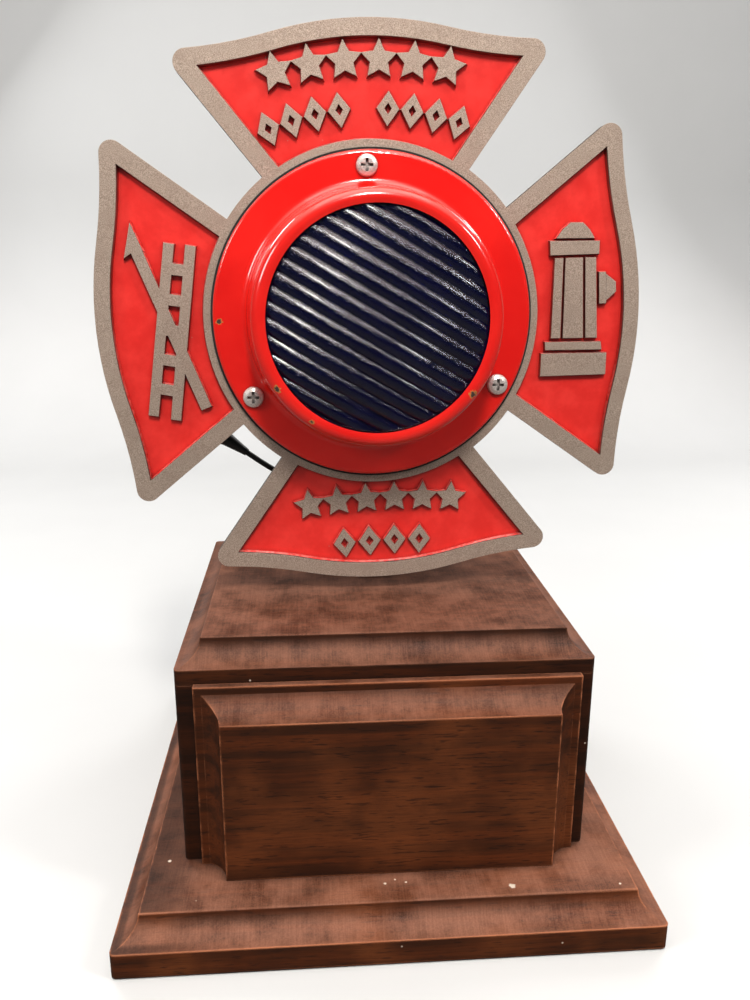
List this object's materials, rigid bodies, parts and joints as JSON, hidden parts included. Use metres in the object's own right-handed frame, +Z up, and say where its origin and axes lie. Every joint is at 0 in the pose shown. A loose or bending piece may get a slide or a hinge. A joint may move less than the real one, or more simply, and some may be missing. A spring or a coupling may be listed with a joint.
{
  "type": "firefighter emblem lamp",
  "caption": "Lamp with a fluted blue lens set in a four-armed firefighter's cross, tilting on a post above a moulded wooden pedestal.",
  "frame": {"origin": "centre of the pedestal's underside", "axes": "+Z up, +X to the viewer's right, the lens and the plaque face -Y, +Y to the back"},
  "size_m": [0.27, 0.2646, 0.4162],
  "materials": {
    "walnut": "dark stained and waxed hardwood, worn lighter on the edges",
    "bare_wood": "plain unfinished softwood",
    "felt": "dark green felt",
    "cast_metal": "dull sanded casting with red enamel in the sunk fields",
    "red_enamel": "glossy red enamel",
    "black_enamel": "satin black enamel",
    "cobalt_glass": "deep cobalt blue fluted glass",
    "clear_glass": "clear thin glass",
    "bright_steel": "bright plated steel",
    "spun_aluminium": "polished inside",
    "brass": "plain brass",
    "tungsten": "grey wire",
    "insulator": "brown moulded insulator",
    "rubber": "black rubber",
    "cord": "black flexible cord",
    "moulded_plastic": "black moulded plastic",
    "cell_jacket": "plain dark jacket without marks"
  },
  "bodies": {
    "pedestal": {"felt_pad": "felt", "base_slab": "walnut", "front_board": "walnut", "back_board": "walnut", "left_board": "walnut", "right_board": "walnut", "top_board": "walnut", "corner_blocks": "bare_wood", "plaque_panel": "walnut", "plaque_screws": "bright_steel", "slab_screws": "bright_steel", "battery_hatch": "bare_wood", "hatch_screws": "bright_steel", "battery_tray": "moulded_plastic", "battery_cells": "cell_jacket", "battery_springs": "bright_steel", "post_foot": "black_enamel", "foot_screws": "bright_steel", "switch_body": "insulator", "switch_nut": "bright_steel", "battery_lead": "cord", "switch_lead": "cord"},
    "stem": {"stem_post": "black_enamel", "stem_grommet": "rubber", "stem_washer": "bright_steel", "stem_nut": "bright_steel", "tilt_bolt": "bright_steel", "tilt_washers": "bright_steel", "supply_cable": "cord", "inner_connector": "moulded_plastic"},
    "wing_nut": {"tilt_wing_nut": "bright_steel"},
    "lamp_head": {"emblem_cross": "cast_metal", "lens_bezel": "red_enamel", "bezel_gasket": "rubber", "bezel_screws": "bright_steel", "bezel_nuts": "bright_steel", "lens": "cobalt_glass", "lens_gasket": "rubber", "reflector": "spun_aluminium", "snap_ring": "bright_steel", "lamp_housing": "black_enamel", "tilt_lug": "black_enamel", "lug_screws": "bright_steel", "lug_nuts": "bright_steel", "bulb_socket": "brass", "contact_disc": "insulator", "contact_spring": "bright_steel", "bulb_base": "brass", "bulb_glass": "clear_glass", "bulb_filament": "tungsten", "housing_grommet": "rubber", "pigtail_cable": "cord", "inline_jack": "moulded_plastic", "plug_barrel": "brass", "inline_plug": "moulded_plastic"},
    "switch_handle": {"switch_lever": "bright_steel"}
  },
  "joints": [
    {"name": "post_swivel", "type": "hinge", "parent": "pedestal", "child": "stem", "pos_m": [0, 0.02931, 0.1381], "axis": [0, 0, 1], "range_deg": [-60, 60], "deforming": ["switch_lead"]},
    {"name": "head_tilt", "type": "hinge", "parent": "stem", "child": "lamp_head", "pos_m": [0, 0.02931, 0.21596], "axis": [1, 0, 0], "range_deg": [-25, 7], "deforming": ["supply_cable"]},
    {"name": "wing_nut_turn", "type": "hinge", "parent": "stem", "child": "wing_nut", "pos_m": [0, 0.02931, 0.21596], "axis": [1, 0, 0], "continuous": true},
    {"name": "switch_toggle", "type": "hinge", "parent": "pedestal", "child": "switch_handle", "pos_m": [0.06, 0.10575, 0.072], "axis": [1, 0, 0], "range_deg": [0, 26]}
  ]
}
